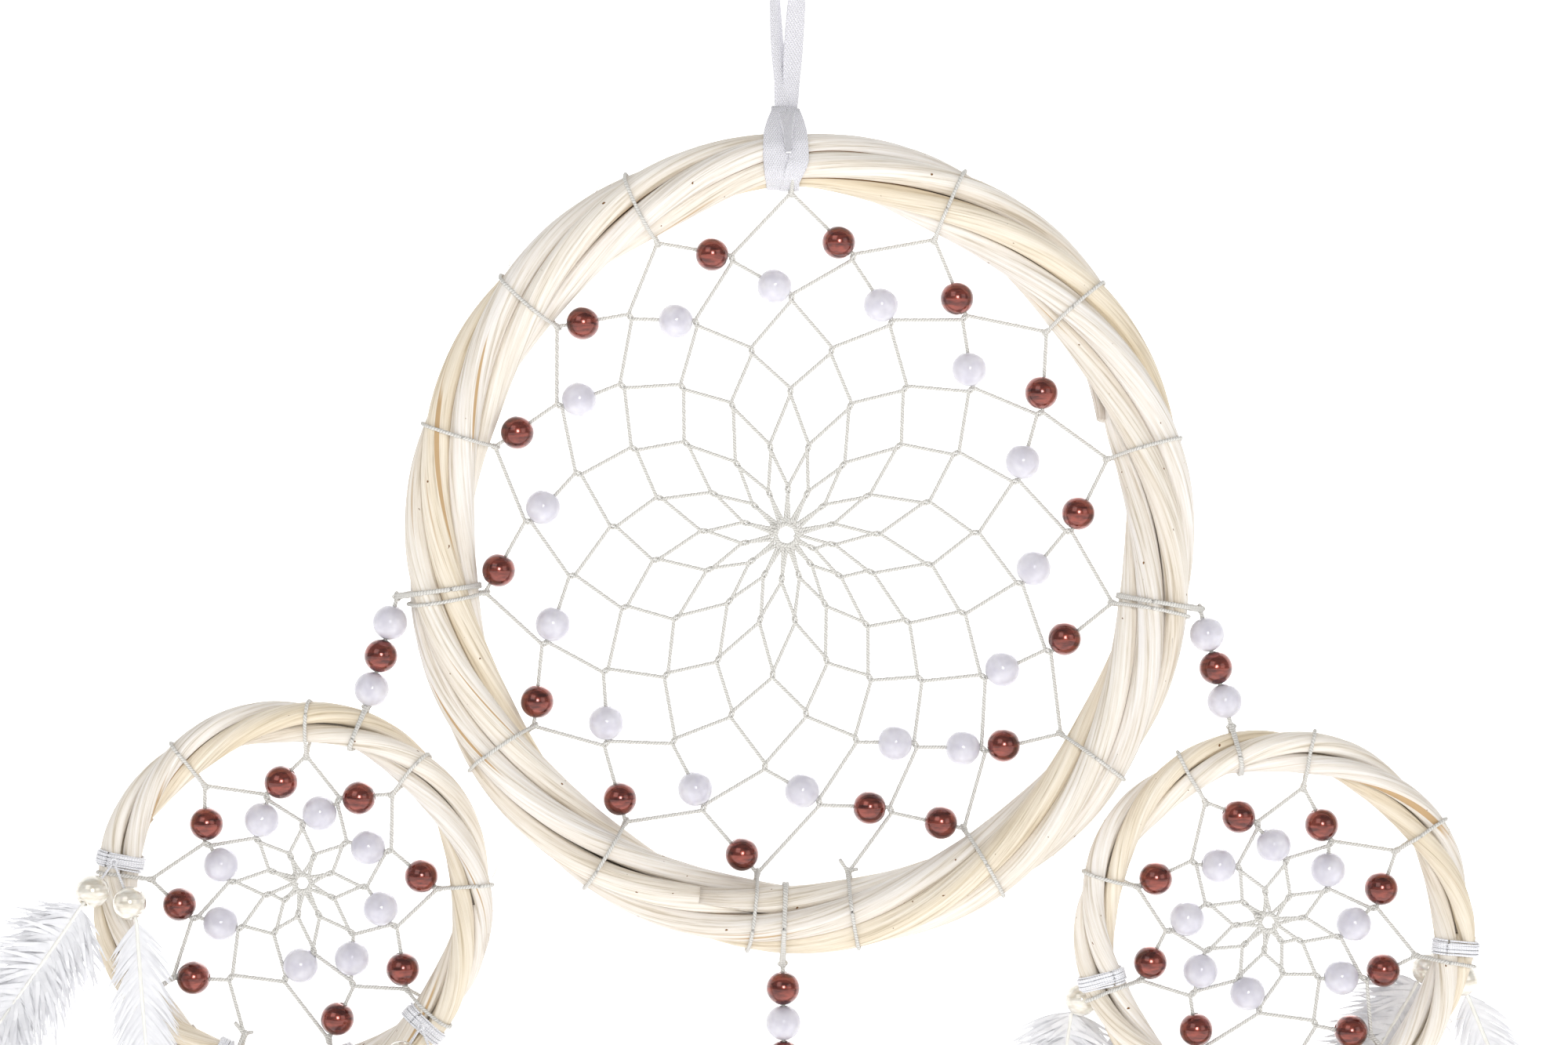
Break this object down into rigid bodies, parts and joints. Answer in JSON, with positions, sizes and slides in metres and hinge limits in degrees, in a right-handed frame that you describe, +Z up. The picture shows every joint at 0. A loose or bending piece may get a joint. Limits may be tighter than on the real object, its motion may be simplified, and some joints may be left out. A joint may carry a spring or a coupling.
{
  "type": "dream catcher",
  "caption": "Hanging dream catcher: a large cane hoop with a beaded cord web, small webbed hoops on beaded strings below it, and white feather ties with pearls.",
  "frame": {"origin": "the point of the ribbon loop's eye that bears on the nail or hook", "axes": "+Z up as it hangs, -Y the front, +X to the right seen from the front"},
  "size_m": [0.4194, 0.033, 0.4946],
  "materials": {
    "cane": "matt peeled and bleached cane with fine lengthwise fibres",
    "cord": "tight off-white braided cotton cord",
    "thread": "white thread with a silky shine",
    "ribbon": "plain woven white cotton tape",
    "brown_bead": "reddish brown pearl lacquer, glossy",
    "clear_bead": "milky translucent, glossy",
    "pearl": "cream pearl lacquer, glossy",
    "feather": "soft white feather vanes with fluffy down"
  },
  "bodies": {
    "ribbon": {"ribbon_loop": "ribbon"},
    "main_hoop": {"ribbon_knot": "ribbon", "main_cane_1": "cane", "main_cane_2": "cane", "main_cane_3": "cane", "main_cane_4": "cane", "main_cane_5": "cane", "main_web": "cord", "main_brown_beads": "brown_bead", "main_clear_beads": "clear_bead"},
    "left_string": {"left_string_cord": "cord"},
    "left_string_bead_1": {"left_string_bead_1": "clear_bead"},
    "left_string_bead_2": {"left_string_bead_2": "brown_bead"},
    "left_string_bead_3": {"left_string_bead_3": "clear_bead"},
    "left_hoop": {"left_hoop_canes": "cane", "left_hoop_web": "cord", "left_hoop_brown_beads": "brown_bead", "left_hoop_clear_beads": "clear_bead", "left_hoop_tie_wraps": "thread"},
    "left_tie_1": {"left_tie_1_pearls": "pearl", "left_tie_1_feathers": "feather"},
    "left_tie_2": {"left_tie_2_pearls": "pearl", "left_tie_2_feathers": "feather"},
    "left_tie_3": {"left_tie_3_pearls": "pearl", "left_tie_3_feathers": "feather"},
    "left_tie_4": {"left_tie_4_pearls": "pearl", "left_tie_4_feathers": "feather"},
    "right_string": {"right_string_cord": "cord"},
    "right_string_bead_1": {"right_string_bead_1": "clear_bead"},
    "right_string_bead_2": {"right_string_bead_2": "brown_bead"},
    "right_string_bead_3": {"right_string_bead_3": "clear_bead"},
    "right_hoop": {"right_hoop_canes": "cane", "right_hoop_web": "cord", "right_hoop_brown_beads": "brown_bead", "right_hoop_clear_beads": "clear_bead", "right_hoop_tie_wraps": "thread"},
    "right_tie_1": {"right_tie_1_pearls": "pearl", "right_tie_1_feathers": "feather"},
    "right_tie_2": {"right_tie_2_pearls": "pearl", "right_tie_2_feathers": "feather"},
    "right_tie_3": {"right_tie_3_pearls": "pearl", "right_tie_3_feathers": "feather"},
    "right_tie_4": {"right_tie_4_pearls": "pearl", "right_tie_4_feathers": "feather"},
    "bottom_string": {"bottom_string_cord": "cord"},
    "bottom_string_bead_1": {"bottom_string_bead_1": "brown_bead"},
    "bottom_string_bead_2": {"bottom_string_bead_2": "clear_bead"},
    "bottom_string_bead_3": {"bottom_string_bead_3": "brown_bead"},
    "bottom_hoop": {"bottom_hoop_canes": "cane", "bottom_hoop_web": "cord", "bottom_hoop_brown_beads": "brown_bead", "bottom_hoop_clear_beads": "clear_bead", "bottom_hoop_tie_wraps": "thread"},
    "bottom_tie_1": {"bottom_tie_1_pearls": "pearl", "bottom_tie_1_feathers": "feather"},
    "bottom_tie_2": {"bottom_tie_2_pearls": "pearl", "bottom_tie_2_feathers": "feather"},
    "bottom_tie_3": {"bottom_tie_3_pearls": "pearl", "bottom_tie_3_feathers": "feather"}
  },
  "joints": [
    {"name": "main_hoop_turn", "type": "hinge", "parent": "ribbon", "child": "main_hoop", "pos_m": [0, 0, -0.0514], "axis": [0, 0, 1], "range_deg": [-90, 90]},
    {"name": "left_string_swing", "type": "hinge", "parent": "main_hoop", "child": "left_string", "pos_m": [-0.09445, 0, -0.16904], "axis": [0, 1, 0], "range_deg": [0, 50]},
    {"name": "left_string_bead_1_spin", "type": "hinge", "parent": "left_string", "child": "left_string_bead_1", "pos_m": [-0.09621, 0, -0.1754], "axis": [-0.2671, 0, -0.9637], "continuous": true},
    {"name": "left_string_bead_2_spin", "type": "hinge", "parent": "left_string", "child": "left_string_bead_2", "pos_m": [-0.09846, 0, -0.1835], "axis": [-0.2671, 0, -0.9637], "continuous": true},
    {"name": "left_string_bead_3_spin", "type": "hinge", "parent": "left_string", "child": "left_string_bead_3", "pos_m": [-0.1007, 0, -0.19159], "axis": [-0.2671, 0, -0.9637], "continuous": true},
    {"name": "left_hoop_turn", "type": "hinge", "parent": "left_string", "child": "left_hoop", "pos_m": [-0.10184, 0, -0.19569], "axis": [-0.2671, 0, -0.9637], "range_deg": [-90, 90], "stiffness_Nm_per_rad": 0.0006},
    {"name": "left_tie_1_swing", "type": "hinge", "parent": "left_hoop", "child": "left_tie_1", "pos_m": [-0.16203, -0.00715, -0.2329], "axis": [-1, 0, 0], "range_deg": [0, 55]},
    {"name": "left_tie_2_swing", "type": "hinge", "parent": "left_hoop", "child": "left_tie_2", "pos_m": [-0.14103, 0, -0.28865], "axis": [1, 0, 0], "range_deg": [-3, 40]},
    {"name": "left_tie_3_swing", "type": "hinge", "parent": "left_hoop", "child": "left_tie_3", "pos_m": [-0.10309, 0, -0.29064], "axis": [1, 0, 0], "range_deg": [-3, 40]},
    {"name": "left_tie_4_swing", "type": "hinge", "parent": "left_hoop", "child": "left_tie_4", "pos_m": [-0.08801, -0.00715, -0.27268], "axis": [-1, 0, 0], "range_deg": [0, 55]},
    {"name": "right_string_swing", "type": "hinge", "parent": "main_hoop", "child": "right_string", "pos_m": [0.10063, 0, -0.17211], "axis": [0, -1, 0], "range_deg": [0, 50]},
    {"name": "right_string_bead_1_spin", "type": "hinge", "parent": "right_string", "child": "right_string_bead_1", "pos_m": [0.10226, 0, -0.1783], "axis": [0.2553, 0, -0.9669], "continuous": true},
    {"name": "right_string_bead_2_spin", "type": "hinge", "parent": "right_string", "child": "right_string_bead_2", "pos_m": [0.10441, 0, -0.18642], "axis": [0.2553, 0, -0.9669], "continuous": true},
    {"name": "right_string_bead_3_spin", "type": "hinge", "parent": "right_string", "child": "right_string_bead_3", "pos_m": [0.10655, 0, -0.19454], "axis": [0.2553, 0, -0.9669], "continuous": true},
    {"name": "right_hoop_turn", "type": "hinge", "parent": "right_string", "child": "right_hoop", "pos_m": [0.10817, 0, -0.20067], "axis": [0.2553, 0, -0.9669], "range_deg": [-90, 90], "stiffness_Nm_per_rad": 0.0006},
    {"name": "right_tie_1_swing", "type": "hinge", "parent": "right_hoop", "child": "right_tie_1", "pos_m": [0.07684, 0.00715, -0.2618], "axis": [1, 0, 0], "range_deg": [0, 55]},
    {"name": "right_tie_2_swing", "type": "hinge", "parent": "right_hoop", "child": "right_tie_2", "pos_m": [0.09568, 0, -0.29497], "axis": [-1, 0, 0], "range_deg": [-3, 40]},
    {"name": "right_tie_3_swing", "type": "hinge", "parent": "right_hoop", "child": "right_tie_3", "pos_m": [0.1275, 0, -0.29973], "axis": [-1, 0, 0], "range_deg": [-3, 40]},
    {"name": "right_tie_4_swing", "type": "hinge", "parent": "right_hoop", "child": "right_tie_4", "pos_m": [0.16203, 0.00715, -0.2542], "axis": [1, 0, 0], "range_deg": [0, 55]},
    {"name": "bottom_string_swing", "type": "hinge", "parent": "main_hoop", "child": "bottom_string", "pos_m": [-0.00081, 0, -0.25826], "axis": [1, 0, 0], "range_deg": [-30, 30]},
    {"name": "bottom_string_bead_1_spin", "type": "hinge", "parent": "bottom_string", "child": "bottom_string_bead_1", "pos_m": [-0.00074, 0, -0.26426], "axis": [0.0112, 0, -0.9999], "continuous": true},
    {"name": "bottom_string_bead_2_spin", "type": "hinge", "parent": "bottom_string", "child": "bottom_string_bead_2", "pos_m": [-0.00065, 0, -0.27266], "axis": [0.0112, 0, -0.9999], "continuous": true},
    {"name": "bottom_string_bead_3_spin", "type": "hinge", "parent": "bottom_string", "child": "bottom_string_bead_3", "pos_m": [-0.00055, 0, -0.28106], "axis": [0.0112, 0, -0.9999], "continuous": true},
    {"name": "bottom_hoop_turn", "type": "hinge", "parent": "bottom_string", "child": "bottom_hoop", "pos_m": [-0.0005, 0, -0.28575], "axis": [0.0112, 0, -0.9999], "range_deg": [-90, 90], "stiffness_Nm_per_rad": 0.0006},
    {"name": "bottom_tie_1_swing", "type": "hinge", "parent": "bottom_hoop", "child": "bottom_tie_1", "pos_m": [-0.0366, -0.00715, -0.36035], "axis": [-1, 0, 0], "range_deg": [0, 55]},
    {"name": "bottom_tie_2_swing", "type": "hinge", "parent": "bottom_hoop", "child": "bottom_tie_2", "pos_m": [-0.0005, 0, -0.3867], "axis": [1, 0, 0], "range_deg": [-3, 40]},
    {"name": "bottom_tie_3_swing", "type": "hinge", "parent": "bottom_hoop", "child": "bottom_tie_3", "pos_m": [0.03473, -0.00715, -0.3616], "axis": [-1, 0, 0], "range_deg": [0, 55]}
  ]
}
